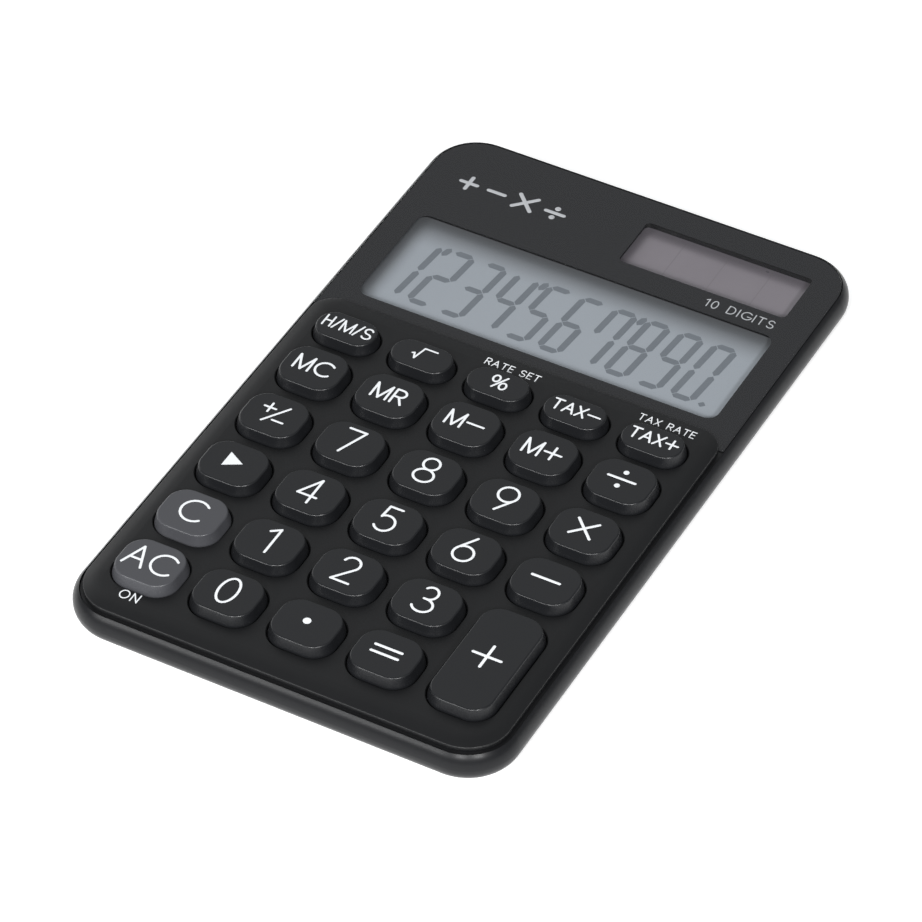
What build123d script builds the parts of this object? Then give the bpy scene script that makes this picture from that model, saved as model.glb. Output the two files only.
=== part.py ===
"""Thin pocket calculator, modelled in millimetres.

X is the width, +Y points at the display end, +Z is up. The origin is the middle of the footprint on
the surface that the calculator's feet stand on.
"""

from build123d import *
import math
import os

# ---------------------------------------------------------------- driving dimensions
# Case
WIDTH = 70.0
LENGTH = 118.0
CASE_CORNER = 8.1
CASE_THICKNESS = 6.0
EDGE_ROUND = 2.95
FLOOR = 0.9
RIM = 1.0
LEDGE = 0.9
GROOVE = 0.15

# Feet
FOOT_STAND = 0.3
FOOT_SUNK = 0.3
FOOT_RADIUS = 3.2
FOOT_FROM_SIDE = 7.5
FOOT_FROM_END = 12.5

# Display end
DISPLAY_LENGTH = 42.55
WINDOW_DROP = 0.4
WINDOW = 0.6
WINDOW_EDGE = 0.2
WINDOW_GAP = 0.12
WINDOW_HORN = 2.2
DISPLAY_PLATE = 1.3
OPENING_FROM_SIDE = 4.2
OPENING_FROM_PAD = 3.05
OPENING_HEIGHT = 20.4
OPENING_MARGIN = 1.0
OPENING_CORNER = 1.8

# Liquid crystal cell
GLASS_SIDE = 1.6
GLASS_TOP = 2.3
GLASS_LEDGE = 2.0
GLASS_SHEET = 0.55
GLASS_STEP = 1.8
FILM = 0.15
FILM_INSET = 0.4
HOLDER_WALL = 1.1
HOLDER_GAP = 0.1
STRIP_WIDTH = 1.4
STRIP_INSET = 3.0

# Solar cell
SOLAR_WIDTH = 27.65
SOLAR_HEIGHT = 9.85
SOLAR_FROM_SIDE = 4.95
SOLAR_FROM_END = 4.75
SOLAR_BORDER = 0.6
SOLAR_MARGIN = 0.5
SOLAR_CORNER = 0.8
SOLAR_SHEET = 0.8

# Keypad
PAD_RISE = 0.9
PAD_PLATE = 1.2
PAD_INSET = 0.45
PAD_CORNER_DISPLAY = 4.0
PAD_CORNER_NEAR = 6.5
ROLL_WIDTH = 2.8
ROLL_DROP = 0.5
PAD_EDGE = 0.15
PAD_WALL = 1.8
HOLE_EDGE = 0.15

# Keys
COLUMNS = 5
ROWS = 5
KEYS_FROM_SIDE = 3.56
KEYS_FROM_NEAR = 5.35
KEYS_FROM_DISPLAY = 4.9
KEY_GAP_X = 3.17
KEY_GAP_Y = 3.4
SHORT_GAP = 2.95
SHORT_KEY = 5.4
KEY_CORNER = 3.0
SHORT_CORNER = 2.55
KEY_STAND = 1.6
KEY_DRAFT = 0.45
DRAFT_HEIGHT = 1.7
KEY_EDGE = 0.28
HOLE_CLEARANCE = 0.18
FLANGE = 0.8
FLANGE_EDGE = 0.75
FLANGE_GAP = 0.1
KEY_WALL = 1.1
KEY_CROWN = 1.3
POST_RADIUS = 2.1
TRAVEL = 1.0

# Board and what stands on it
BOARD = 0.6
BOARD_GAP = 0.6
BOARD_CLEARANCE = 0.6
REST_RADIUS = 1.2
CHIP_RADIUS = 4.4
CHIP_HEIGHT = 1.1
CAPACITOR = (3.2, 1.6, 1.3)
RESISTOR = (2.0, 1.25, 0.5)
RESISTOR_PITCH = 3.4
PART_GAP = 0.6

# Rubber sheet
MAT = 0.4
DOME_RADIUS = 3.8
DOME_TOP_RADIUS = 2.6
DOME_SKIN = 0.6
PILL_RADIUS = 1.4

# Button cell, LR54
CELL_DIAMETER = 11.6
CELL_HEIGHT = 3.05
CELL_CLEARANCE = 0.4
CELL_FROM_SIDE = 7.3
CELL_EDGE = 0.35
CELL_HEADROOM = 0.1
CONTACT = 0.2
CONTACT_WIDTH = 4.0

# Screws
CASE_SCREW_RADIUS = 0.85
CASE_HEAD_RADIUS = 1.45
CASE_HEAD = 0.7
CASE_SCREW_REACH = 2.5
CASE_BOSS_RADIUS = 1.6
CASE_SCREW_FROM_SIDE = 6.1
CASE_SCREW_FROM_END = 1.75
RECESS_CLEARANCE = 0.2
BOARD_SCREW_RADIUS = 0.7
BOARD_HEAD_RADIUS = 1.35
BOARD_HEAD = 0.42
BOARD_SCREW_REACH = 2.2
BOARD_BOSS_RADIUS = 1.5
BOARD_BOSS_BELOW_WINDOW = 1.9
BOARD_BOSS_X = 14.0
BOSS_CLEARANCE = 0.3

# ---------------------------------------------------------------- heights
CASE_BOTTOM = FOOT_STAND
CASE_TOP = CASE_BOTTOM + CASE_THICKNESS
FLOOR_TOP = CASE_BOTTOM + FLOOR
WINDOW_TOP = CASE_TOP - WINDOW_DROP
WINDOW_BOTTOM = WINDOW_TOP - WINDOW
PLATE_BOTTOM = WINDOW_BOTTOM - DISPLAY_PLATE
PAD_TOP = WINDOW_TOP + PAD_RISE
PAD_UNDER = PAD_TOP - PAD_PLATE
KEY_TOP = PAD_TOP + KEY_STAND
FLANGE_TOP = PAD_UNDER - FLANGE_GAP
KEY_BOTTOM = FLANGE_TOP - FLANGE
BOARD_BOTTOM = FLOOR_TOP + BOARD_GAP
BOARD_TOP = BOARD_BOTTOM + BOARD
MAT_TOP = BOARD_TOP + MAT
GLASS_MIDDLE = PLATE_BOTTOM - GLASS_SHEET
GLASS_BOTTOM = GLASS_MIDDLE - GLASS_SHEET
SOLAR_BOTTOM = PLATE_BOTTOM - SOLAR_SHEET
CELL_BOTTOM = FLOOR_TOP + CONTACT
CELL_TOP = CELL_BOTTOM + CELL_HEIGHT

# ---------------------------------------------------------------- plan
POCKET_X = WIDTH / 2 - RIM
POCKET_Y = LENGTH / 2 - RIM
POCKET_CORNER = CASE_CORNER - RIM
CAVITY_X = POCKET_X - LEDGE
CAVITY_Y = POCKET_Y - LEDGE
CAVITY_CORNER = POCKET_CORNER - LEDGE
FRONT_X = POCKET_X - GROOVE
FRONT_Y = POCKET_Y - GROOVE
FRONT_CORNER = POCKET_CORNER - GROOVE

PAD_END_Y = FRONT_Y - DISPLAY_LENGTH
PAD_X = FRONT_X - PAD_INSET
PAD_LENGTH = PAD_END_Y + FRONT_Y - PAD_INSET
PAD_MIDDLE_Y = PAD_END_Y - PAD_LENGTH / 2
COLUMN_PITCH = (2 * (PAD_X - KEYS_FROM_SIDE) + KEY_GAP_X) / COLUMNS
KEY_WIDTH = COLUMN_PITCH - KEY_GAP_X
TALL_ROWS = PAD_LENGTH - KEYS_FROM_DISPLAY - SHORT_KEY - SHORT_GAP - KEYS_FROM_NEAR
ROW_PITCH = (TALL_ROWS + KEY_GAP_Y) / ROWS
KEY_HEIGHT = ROW_PITCH - KEY_GAP_Y
TALL_KEY = KEY_HEIGHT + ROW_PITCH
COLUMN_X = [(column - (COLUMNS - 1) / 2) * COLUMN_PITCH for column in range(COLUMNS)]
SHORT_ROW_Y = PAD_END_Y - KEYS_FROM_DISPLAY - SHORT_KEY / 2
FIRST_ROW_Y = SHORT_ROW_Y - SHORT_KEY / 2 - SHORT_GAP - KEY_HEIGHT / 2
ROW_Y = [SHORT_ROW_Y] + [FIRST_ROW_Y - row * ROW_PITCH for row in range(ROWS)]
TALL_Y = (ROW_Y[4] + ROW_Y[5]) / 2
BASE_GROWTH = 2 * KEY_DRAFT
FLANGE_GROWTH = BASE_GROWTH + 2 * FLANGE_EDGE

OPENING_X = FRONT_X - OPENING_FROM_SIDE
OPENING_Y = PAD_END_Y + OPENING_FROM_PAD + OPENING_HEIGHT / 2
GLASS_X = OPENING_X + GLASS_SIDE
GLASS_NEAR_Y = OPENING_Y - OPENING_HEIGHT / 2 - GLASS_LEDGE
GLASS_FAR_Y = OPENING_Y + OPENING_HEIGHT / 2 + GLASS_TOP
HOLDER_X = GLASS_X + HOLDER_GAP + HOLDER_WALL
HOLDER_NEAR_Y = GLASS_NEAR_Y - HOLDER_GAP - HOLDER_WALL
HOLDER_FAR_Y = GLASS_FAR_Y + HOLDER_GAP + HOLDER_WALL

SOLAR_X = FRONT_X - SOLAR_FROM_SIDE - SOLAR_WIDTH / 2
SOLAR_Y = FRONT_Y - SOLAR_FROM_END - SOLAR_HEIGHT / 2
SOLAR_LEFT = SOLAR_X - SOLAR_WIDTH / 2 - SOLAR_BORDER

CELL_RADIUS = CELL_DIAMETER / 2
CELL_HOLE = CELL_RADIUS + CELL_CLEARANCE
CELL_X = -(CAVITY_X - CELL_FROM_SIDE - CELL_RADIUS)
CELL_Y = HOLDER_FAR_Y + PART_GAP + CELL_RADIUS
CHIP_X = (CELL_X + CELL_HOLE + SOLAR_LEFT) / 2
RESISTOR_Y = HOLDER_FAR_Y + PART_GAP + RESISTOR[1] / 2
CHIP_Y = RESISTOR_Y + RESISTOR[1] / 2 + PART_GAP + CHIP_RADIUS
CAPACITOR_Y = CHIP_Y + CHIP_RADIUS + PART_GAP + CAPACITOR[1] / 2

CASE_SCREW_X = CAVITY_X - CASE_SCREW_FROM_SIDE
CASE_SCREW_Y = CAVITY_Y - CASE_SCREW_FROM_END
CASE_SCREWS = [(sx * CASE_SCREW_X, sy * CASE_SCREW_Y) for sx in (-1, 1) for sy in (-1, 1)]
FEET = [
    (sx * (WIDTH / 2 - FOOT_FROM_SIDE), sy * (LENGTH / 2 - FOOT_FROM_END))
    for sx in (-1, 1)
    for sy in (-1, 1)
]
CROSSING_Y = [(ROW_Y[1] + ROW_Y[2]) / 2, (ROW_Y[3] + ROW_Y[4]) / 2]
KEYPAD_BOSSES = [(sx * COLUMN_PITCH * 1.5, y) for sx in (-1, 1) for y in CROSSING_Y]
DISPLAY_BOSSES = [(sx * BOARD_BOSS_X, PAD_END_Y - BOARD_BOSS_BELOW_WINDOW) for sx in (-1, 1)]
BOARD_SCREWS = KEYPAD_BOSSES + DISPLAY_BOSSES
BOARD_RESTS = [(sx * COLUMN_PITCH / 2, y) for sx in (-1, 1) for y in CROSSING_Y]

# Key name, column, row
KEYS = [
    ("key_hms", 0, 0), ("key_root", 1, 0), ("key_percent", 2, 0),
    ("key_tax_minus", 3, 0), ("key_tax_plus", 4, 0),
    ("key_mc", 0, 1), ("key_mr", 1, 1), ("key_m_minus", 2, 1), ("key_m_plus", 3, 1), ("key_divide", 4, 1),
    ("key_sign", 0, 2), ("key_7", 1, 2), ("key_8", 2, 2), ("key_9", 3, 2), ("key_multiply", 4, 2),
    ("key_backspace", 0, 3), ("key_4", 1, 3), ("key_5", 2, 3), ("key_6", 3, 3), ("key_minus", 4, 3),
    ("key_c", 0, 4), ("key_1", 1, 4), ("key_2", 2, 4), ("key_3", 3, 4), ("key_plus", 4, 4),
    ("key_ac", 0, 5), ("key_0", 1, 5), ("key_point", 2, 5), ("key_equals", 3, 5),
]


# ---------------------------------------------------------------- shared shapes
def slab(half_x, half_y, corner, bottom, top, x=0.0, y=0.0):
    """A flat block with rounded plan corners, given by its half sizes."""
    return extrude(Pos(x, y, bottom) * RectangleRounded(2 * half_x, 2 * half_y, corner), top - bottom)


def block(x0, x1, y0, y1, z0, z1):
    """A plain box between two corners."""
    return Pos((x0 + x1) / 2, (y0 + y1) / 2, (z0 + z1) / 2) * Box(x1 - x0, y1 - y0, z1 - z0)


def disc(x, y, radius, bottom, top):
    """An upright cylinder."""
    return Pos(x, y, (bottom + top) / 2) * Cylinder(radius, top - bottom)


def pad_outline(growth, z):
    """The keypad's outline, let out by growth: small corners by the display, large ones at the near end."""
    sketch = Rectangle(2 * (PAD_X + growth), PAD_LENGTH + 2 * growth)
    sketch = fillet(sketch.vertices().group_by(Axis.Y)[-1], PAD_CORNER_DISPLAY + growth)
    sketch = fillet(sketch.vertices().group_by(Axis.Y)[0], PAD_CORNER_NEAR + growth)
    return Pos(0, PAD_MIDDLE_Y, z) * sketch


def key_plan(row, name):
    """Half width, half height, corner radius and centre height of a key's top face."""
    if row == 0:
        return KEY_WIDTH / 2, SHORT_KEY / 2, SHORT_CORNER, ROW_Y[0]
    if name == "key_plus":
        return KEY_WIDTH / 2, TALL_KEY / 2, KEY_CORNER, TALL_Y
    return KEY_WIDTH / 2, KEY_HEIGHT / 2, KEY_CORNER, ROW_Y[row]


def screw(x, y, radius, head_radius, head_bottom, head_top, tip):
    """A pan-head screw that is driven upwards, with a cross recess in its head."""
    body = disc(x, y, head_radius, head_bottom, head_top) + disc(x, y, radius, head_top, tip)
    arm = 0.62 * head_radius
    half_slot = 0.16 * head_radius
    depth = 0.5 * (head_top - head_bottom)
    for along_x, along_y in ((arm, half_slot), (half_slot, arm)):
        body -= block(x - along_x, x + along_x, y - along_y, y + along_y, head_bottom, head_bottom + depth)
    return body


# ---------------------------------------------------------------- case
def rear_case():
    shell = slab(WIDTH / 2, LENGTH / 2, CASE_CORNER, CASE_BOTTOM, CASE_TOP)
    edges = shell.faces().sort_by(Axis.Z)[0].edges() + shell.faces().sort_by(Axis.Z)[-1].edges()
    shell = fillet(edges, EDGE_ROUND)
    shell -= slab(CAVITY_X, CAVITY_Y, CAVITY_CORNER, FLOOR_TOP, CASE_TOP)
    shell -= slab(POCKET_X, POCKET_Y, POCKET_CORNER, PLATE_BOTTOM, CASE_TOP)
    cavity = slab(CAVITY_X, CAVITY_Y, CAVITY_CORNER, FLOOR_TOP, BOARD_BOTTOM)
    head_room = CASE_HEAD_RADIUS + RECESS_CLEARANCE
    for x, y in CASE_SCREWS:
        shell += disc(x, y, head_room + FLOOR, FLOOR_TOP, BOARD_BOTTOM) & cavity
    for x, y in BOARD_RESTS:
        shell += disc(x, y, REST_RADIUS, FLOOR_TOP, BOARD_BOTTOM)
    for x, y in CASE_SCREWS:
        shell -= disc(x, y, head_room, CASE_BOTTOM, CASE_BOTTOM + CASE_HEAD + RECESS_CLEARANCE)
        shell -= disc(x, y, CASE_SCREW_RADIUS + RECESS_CLEARANCE, CASE_BOTTOM, BOARD_BOTTOM)
    for x, y in FEET:
        shell -= disc(x, y, FOOT_RADIUS, CASE_BOTTOM, CASE_BOTTOM + FOOT_SUNK)
    return shell


def front_case():
    roll_radius = (ROLL_WIDTH ** 2 + ROLL_DROP ** 2) / (2 * ROLL_DROP)
    growth = roll_radius - ROLL_WIDTH
    pillow = extrude(pad_outline(growth, PAD_TOP - 2 * roll_radius), 2 * roll_radius)
    pillow = fillet(pillow.faces().sort_by(Axis.Z)[-1].edges(), roll_radius)
    pillow &= extrude(pad_outline(0, PLATE_BOTTOM), PAD_TOP - PLATE_BOTTOM)
    brink = PAD_TOP - ROLL_DROP
    pillow = fillet(pillow.edges().filter_by_position(Axis.Z, brink - 0.01, brink + 0.01), PAD_EDGE)
    hollow = extrude(pad_outline(-PAD_WALL, PLATE_BOTTOM), PAD_UNDER - PLATE_BOTTOM)
    case = slab(FRONT_X, FRONT_Y, FRONT_CORNER, PLATE_BOTTOM, WINDOW_BOTTOM) + pillow - hollow
    holes = [key_hole(name, column, row) for name, column, row in KEYS]
    case -= Compound(children=holes)
    case -= slab(
        OPENING_X + OPENING_MARGIN, OPENING_HEIGHT / 2 + OPENING_MARGIN, OPENING_CORNER,
        PLATE_BOTTOM, WINDOW_BOTTOM, 0, OPENING_Y,
    )
    case -= slab(
        SOLAR_WIDTH / 2 + SOLAR_MARGIN, SOLAR_HEIGHT / 2 + SOLAR_MARGIN, SOLAR_CORNER,
        PLATE_BOTTOM, WINDOW_BOTTOM, SOLAR_X, SOLAR_Y,
    )
    case -= disc(CELL_X, CELL_Y, CELL_HOLE, PLATE_BOTTOM, CELL_TOP + CELL_HEADROOM)
    for x, y in CASE_SCREWS:
        top = PAD_UNDER if y < 0 else PLATE_BOTTOM
        case += disc(x, y, CASE_BOSS_RADIUS, BOARD_BOTTOM, top)
    for x, y in BOARD_SCREWS:
        case += disc(x, y, BOARD_BOSS_RADIUS, BOARD_TOP, PAD_UNDER)
    for x, y in CASE_SCREWS:
        case -= disc(x, y, CASE_SCREW_RADIUS, BOARD_BOTTOM, BOARD_BOTTOM + CASE_SCREW_REACH)
    for x, y in BOARD_SCREWS:
        case -= disc(x, y, BOARD_SCREW_RADIUS, BOARD_TOP, BOARD_TOP + BOARD_SCREW_REACH)
    return case


def key_hole(name, column, row):
    half_x, half_y, corner, y = key_plan(row, name)
    growth = KEY_DRAFT + HOLE_CLEARANCE
    hole = slab(half_x + growth, half_y + growth, corner + growth, PAD_UNDER, PAD_TOP, COLUMN_X[column], y)
    mouth = extrude(
        Pos(COLUMN_X[column], y, PAD_TOP)
        * RectangleRounded(
            2 * (half_x + growth + HOLE_EDGE), 2 * (half_y + growth + HOLE_EDGE), corner + growth + HOLE_EDGE
        ),
        -HOLE_EDGE,
        taper=45,
    )
    return hole + mouth


def display_window():
    sheet = slab(FRONT_X, FRONT_Y, FRONT_CORNER, WINDOW_BOTTOM, WINDOW_TOP)
    sheet = chamfer(sheet.faces().sort_by(Axis.Z)[-1].edges(), WINDOW_EDGE)
    sheet &= block(-WIDTH, WIDTH, PAD_END_Y - WINDOW_HORN, LENGTH, WINDOW_BOTTOM, WINDOW_TOP)
    return sheet - extrude(pad_outline(WINDOW_GAP, WINDOW_BOTTOM), WINDOW)


def rubber_feet():
    feet = []
    for x, y in FEET:
        foot = disc(x, y, FOOT_RADIUS, 0, CASE_BOTTOM + FOOT_SUNK)
        feet.append(fillet(foot.faces().sort_by(Axis.Z)[0].edges(), FOOT_STAND / 2))
    return Compound(children=feet)


def case_screws():
    head_top = CASE_BOTTOM + CASE_HEAD + RECESS_CLEARANCE
    return Compound(children=[
        screw(
            x, y, CASE_SCREW_RADIUS, CASE_HEAD_RADIUS,
            head_top - CASE_HEAD, head_top, BOARD_BOTTOM + CASE_SCREW_REACH - BOSS_CLEARANCE,
        )
        for x, y in CASE_SCREWS
    ])


def board_screws():
    return Compound(children=[
        screw(
            x, y, BOARD_SCREW_RADIUS, BOARD_HEAD_RADIUS,
            BOARD_BOTTOM - BOARD_HEAD, BOARD_BOTTOM, BOARD_TOP + BOARD_SCREW_REACH - BOSS_CLEARANCE,
        )
        for x, y in BOARD_SCREWS
    ])


# ---------------------------------------------------------------- display and power
def lcd_glass():
    front = block(-GLASS_X, GLASS_X, GLASS_NEAR_Y, GLASS_FAR_Y, GLASS_MIDDLE, PLATE_BOTTOM)
    back = block(-GLASS_X, GLASS_X, GLASS_NEAR_Y + GLASS_STEP, GLASS_FAR_Y, GLASS_BOTTOM, GLASS_MIDDLE)
    return front + back


def lcd_polariser():
    half_y = OPENING_HEIGHT / 2 + OPENING_MARGIN - HOLDER_GAP
    half_x = OPENING_X + OPENING_MARGIN - HOLDER_GAP
    return slab(half_x, half_y, OPENING_CORNER, PLATE_BOTTOM, PLATE_BOTTOM + FILM, 0, OPENING_Y)


def lcd_reflector():
    return block(
        -GLASS_X + FILM_INSET, GLASS_X - FILM_INSET, GLASS_NEAR_Y + GLASS_STEP + FILM_INSET,
        GLASS_FAR_Y - FILM_INSET, GLASS_BOTTOM - FILM, GLASS_BOTTOM,
    )


def lcd_holder():
    outside = block(-HOLDER_X, HOLDER_X, HOLDER_NEAR_Y, HOLDER_FAR_Y, BOARD_TOP, PLATE_BOTTOM)
    gap_x = GLASS_X + HOLDER_GAP
    inside = block(
        -gap_x, gap_x, GLASS_NEAR_Y - HOLDER_GAP, GLASS_FAR_Y + HOLDER_GAP, BOARD_TOP, PLATE_BOTTOM
    )
    return fillet(outside.edges().filter_by(Axis.Z), HOLDER_WALL) - inside


def elastomer_connector():
    near = GLASS_NEAR_Y + (GLASS_STEP - STRIP_WIDTH) / 2
    half_x = GLASS_X - STRIP_INSET
    return block(-half_x, half_x, near, near + STRIP_WIDTH, BOARD_TOP, GLASS_MIDDLE)


def solar_cell():
    half_x = SOLAR_WIDTH / 2 + SOLAR_BORDER
    half_y = SOLAR_HEIGHT / 2 + SOLAR_BORDER
    return Pos(SOLAR_X, SOLAR_Y, PLATE_BOTTOM - SOLAR_SHEET / 2) * Box(2 * half_x, 2 * half_y, SOLAR_SHEET)


def leaf(x, y, side, reach, width, low, high):
    """A Z-shaped spring strip: a foot at low, a riser, and a top arm at high."""
    y0, y1 = y - width / 2, y + width / 2
    foot = block(min(x, x - side * reach), max(x, x - side * reach), y0, y1, low, low + CONTACT)
    riser = block(min(x, x + side * CONTACT), max(x, x + side * CONTACT), y0, y1, low, high)
    arm = block(min(x, x + side * reach), max(x, x + side * reach), y0, y1, high - CONTACT, high)
    return foot + riser + arm


def solar_contacts():
    reach = 2.4
    inset = SOLAR_WIDTH / 2 - 2 * reach
    return Compound(children=[
        leaf(SOLAR_X + side * inset, SOLAR_Y, side, reach, 1.6, BOARD_TOP, SOLAR_BOTTOM) for side in (-1, 1)
    ])


def button_cell():
    cell = disc(CELL_X, CELL_Y, CELL_RADIUS, CELL_BOTTOM, CELL_TOP)
    return fillet(cell.edges(), CELL_EDGE)


def battery_contact_minus():
    riser = CELL_X + CELL_RADIUS + CELL_CLEARANCE + CONTACT
    strip = leaf(riser, CELL_Y, 1, CELL_RADIUS / 2, CONTACT_WIDTH, FLOOR_TOP, BOARD_BOTTOM)
    return strip + block(
        CELL_X, riser, CELL_Y - CONTACT_WIDTH / 2, CELL_Y + CONTACT_WIDTH / 2, FLOOR_TOP, CELL_BOTTOM
    )


def battery_contact_plus():
    touch = CELL_X - CELL_RADIUS - 0.1 * CONTACT
    y0, y1 = CELL_Y - CONTACT_WIDTH / 2, CELL_Y + CONTACT_WIDTH / 2
    foot = block(touch - CELL_RADIUS / 2, touch, y0, y1, BOARD_TOP, BOARD_TOP + CONTACT)
    return foot + block(touch - CONTACT, touch, y0, y1, BOARD_TOP, PLATE_BOTTOM - CONTACT)


# ---------------------------------------------------------------- board and rubber sheet
def main_pcb():
    board = slab(
        CAVITY_X - BOARD_CLEARANCE, CAVITY_Y - BOARD_CLEARANCE, CAVITY_CORNER - BOARD_CLEARANCE,
        BOARD_BOTTOM, BOARD_TOP,
    )
    board -= disc(CELL_X, CELL_Y, CELL_HOLE, BOARD_BOTTOM, BOARD_TOP)
    for x, y in CASE_SCREWS:
        board -= disc(x, y, CASE_BOSS_RADIUS + BOSS_CLEARANCE, BOARD_BOTTOM, BOARD_TOP)
    for x, y in BOARD_SCREWS:
        board -= disc(x, y, BOARD_SCREW_RADIUS + BOSS_CLEARANCE / 2, BOARD_BOTTOM, BOARD_TOP)
    return board


def chip_blob():
    blob = disc(CHIP_X, CHIP_Y, CHIP_RADIUS, BOARD_TOP, BOARD_TOP + CHIP_HEIGHT)
    return fillet(blob.faces().sort_by(Axis.Z)[-1].edges(), 0.9 * CHIP_HEIGHT)


def capacitor():
    along, across, tall = CAPACITOR
    body = Pos(CHIP_X, CAPACITOR_Y, BOARD_TOP + tall / 2) * Box(along, across, tall)
    return chamfer(body.faces().sort_by(Axis.Z)[-1].edges(), 0.15 * across)


def chip_resistors():
    along, across, tall = RESISTOR
    return Compound(children=[
        Pos(CHIP_X + step * RESISTOR_PITCH, RESISTOR_Y, BOARD_TOP + tall / 2) * Box(along, across, tall)
        for step in (-1, 0, 1)
    ])


def dome_centres():
    """One dome under each key, and two under the tall one."""
    centres = []
    for name, column, row in KEYS:
        rows = (ROW_Y[4], ROW_Y[5]) if name == "key_plus" else (ROW_Y[row],)
        centres += [(COLUMN_X[column], y) for y in rows]
    return centres


def rubber_keypad():
    """One sheet with hollow domes; the carbon pill in each dome stands a key's travel above the board."""
    half_x = COLUMN_X[-1] + (KEY_WIDTH + FLANGE_GROWTH) / 2
    near = ROW_Y[5] - (KEY_HEIGHT + FLANGE_GROWTH) / 2
    far = ROW_Y[0] + (SHORT_KEY + FLANGE_GROWTH) / 2
    sheet = slab(half_x, (far - near) / 2, KEY_CORNER, BOARD_TOP, MAT_TOP, 0, (far + near) / 2)
    height = KEY_BOTTOM - MAT_TOP
    room = KEY_BOTTOM - DOME_SKIN - BOARD_TOP
    outside = Pos(0, 0, MAT_TOP + height / 2) * Cone(DOME_RADIUS, DOME_TOP_RADIUS, height)
    inside = Pos(0, 0, BOARD_TOP + room / 2) * Cone(DOME_RADIUS - DOME_SKIN, DOME_TOP_RADIUS - DOME_SKIN, room)
    pill = disc(0, 0, PILL_RADIUS, BOARD_TOP + TRAVEL, BOARD_TOP + room)
    centres = dome_centres()
    sheet += [Pos(x, y, 0) * outside for x, y in centres]
    sheet -= [Pos(x, y, 0) * (inside - pill) for x, y in centres]
    for x, y in KEYPAD_BOSSES:
        sheet -= disc(x, y, BOARD_BOSS_RADIUS + BOSS_CLEARANCE, BOARD_TOP, MAT_TOP)
    return sheet


# ---------------------------------------------------------------- keys
def key(name, column, row):
    half_x, half_y, corner, y = key_plan(row, name)
    x = COLUMN_X[column]
    base_top = KEY_TOP - DRAFT_HEIGHT
    base_x, base_y = half_x + KEY_DRAFT, half_y + KEY_DRAFT
    base_corner = corner + KEY_DRAFT
    taper = math.degrees(math.atan2(KEY_DRAFT, DRAFT_HEIGHT))
    cap = extrude(
        Pos(x, y, base_top) * RectangleRounded(2 * base_x, 2 * base_y, base_corner), DRAFT_HEIGHT, taper=taper
    )
    cap = fillet(cap.faces().sort_by(Axis.Z)[-1].edges(), KEY_EDGE)
    stem = slab(base_x, base_y, base_corner, KEY_BOTTOM, base_top, x, y)
    flange = slab(
        base_x + FLANGE_EDGE, base_y + FLANGE_EDGE, base_corner + FLANGE_EDGE, KEY_BOTTOM, FLANGE_TOP, x, y
    )
    inside = slab(
        base_x - KEY_WALL, base_y - KEY_WALL, base_corner - KEY_WALL, KEY_BOTTOM, KEY_TOP - KEY_CROWN, x, y
    )
    for dome_x, dome_y in dome_centres():
        if abs(dome_x - x) < KEY_WIDTH / 2 and abs(dome_y - y) < half_y:
            inside -= disc(dome_x, dome_y, POST_RADIUS, KEY_BOTTOM, KEY_TOP - KEY_CROWN)
    return cap + stem + flange - inside


# ---------------------------------------------------------------- export
MAKERS = [
    rear_case, front_case, display_window, lcd_glass, lcd_polariser, lcd_reflector, lcd_holder,
    elastomer_connector, solar_cell, solar_contacts, button_cell, battery_contact_minus,
    battery_contact_plus, main_pcb, chip_blob, capacitor, chip_resistors, rubber_keypad,
    case_screws, board_screws, rubber_feet,
]

os.makedirs("parts", exist_ok=True)
for make in MAKERS:
    export_step(make(), f"parts/{make.__name__}.step")
for key_name, key_column, key_row in KEYS:
    export_step(key(key_name, key_column, key_row), f"parts/{key_name}.step")
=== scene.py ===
"""A thin pocket calculator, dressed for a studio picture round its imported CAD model."""

import math

import bmesh
import bpy
from mathutils import Matrix, Vector


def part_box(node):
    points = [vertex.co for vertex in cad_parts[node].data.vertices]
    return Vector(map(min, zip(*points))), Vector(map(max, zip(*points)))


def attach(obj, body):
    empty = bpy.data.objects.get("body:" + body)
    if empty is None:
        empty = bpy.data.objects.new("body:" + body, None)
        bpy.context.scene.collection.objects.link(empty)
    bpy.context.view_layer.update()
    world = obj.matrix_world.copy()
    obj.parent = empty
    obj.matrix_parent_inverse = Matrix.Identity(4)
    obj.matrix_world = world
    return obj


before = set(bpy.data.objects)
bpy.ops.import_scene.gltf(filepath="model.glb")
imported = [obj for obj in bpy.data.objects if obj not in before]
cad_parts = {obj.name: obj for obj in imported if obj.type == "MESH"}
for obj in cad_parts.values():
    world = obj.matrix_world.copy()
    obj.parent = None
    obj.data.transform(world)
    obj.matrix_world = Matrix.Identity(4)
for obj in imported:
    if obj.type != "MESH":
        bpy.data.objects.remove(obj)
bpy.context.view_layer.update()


# ---------------------------------------------------------------- rear case
# The tub that carries everything: moulded in graphite ABS from a spark-eroded tool, so it has a fine
# satin grain, and its rim turns up round the front plate.
MM = 0.001


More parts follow.
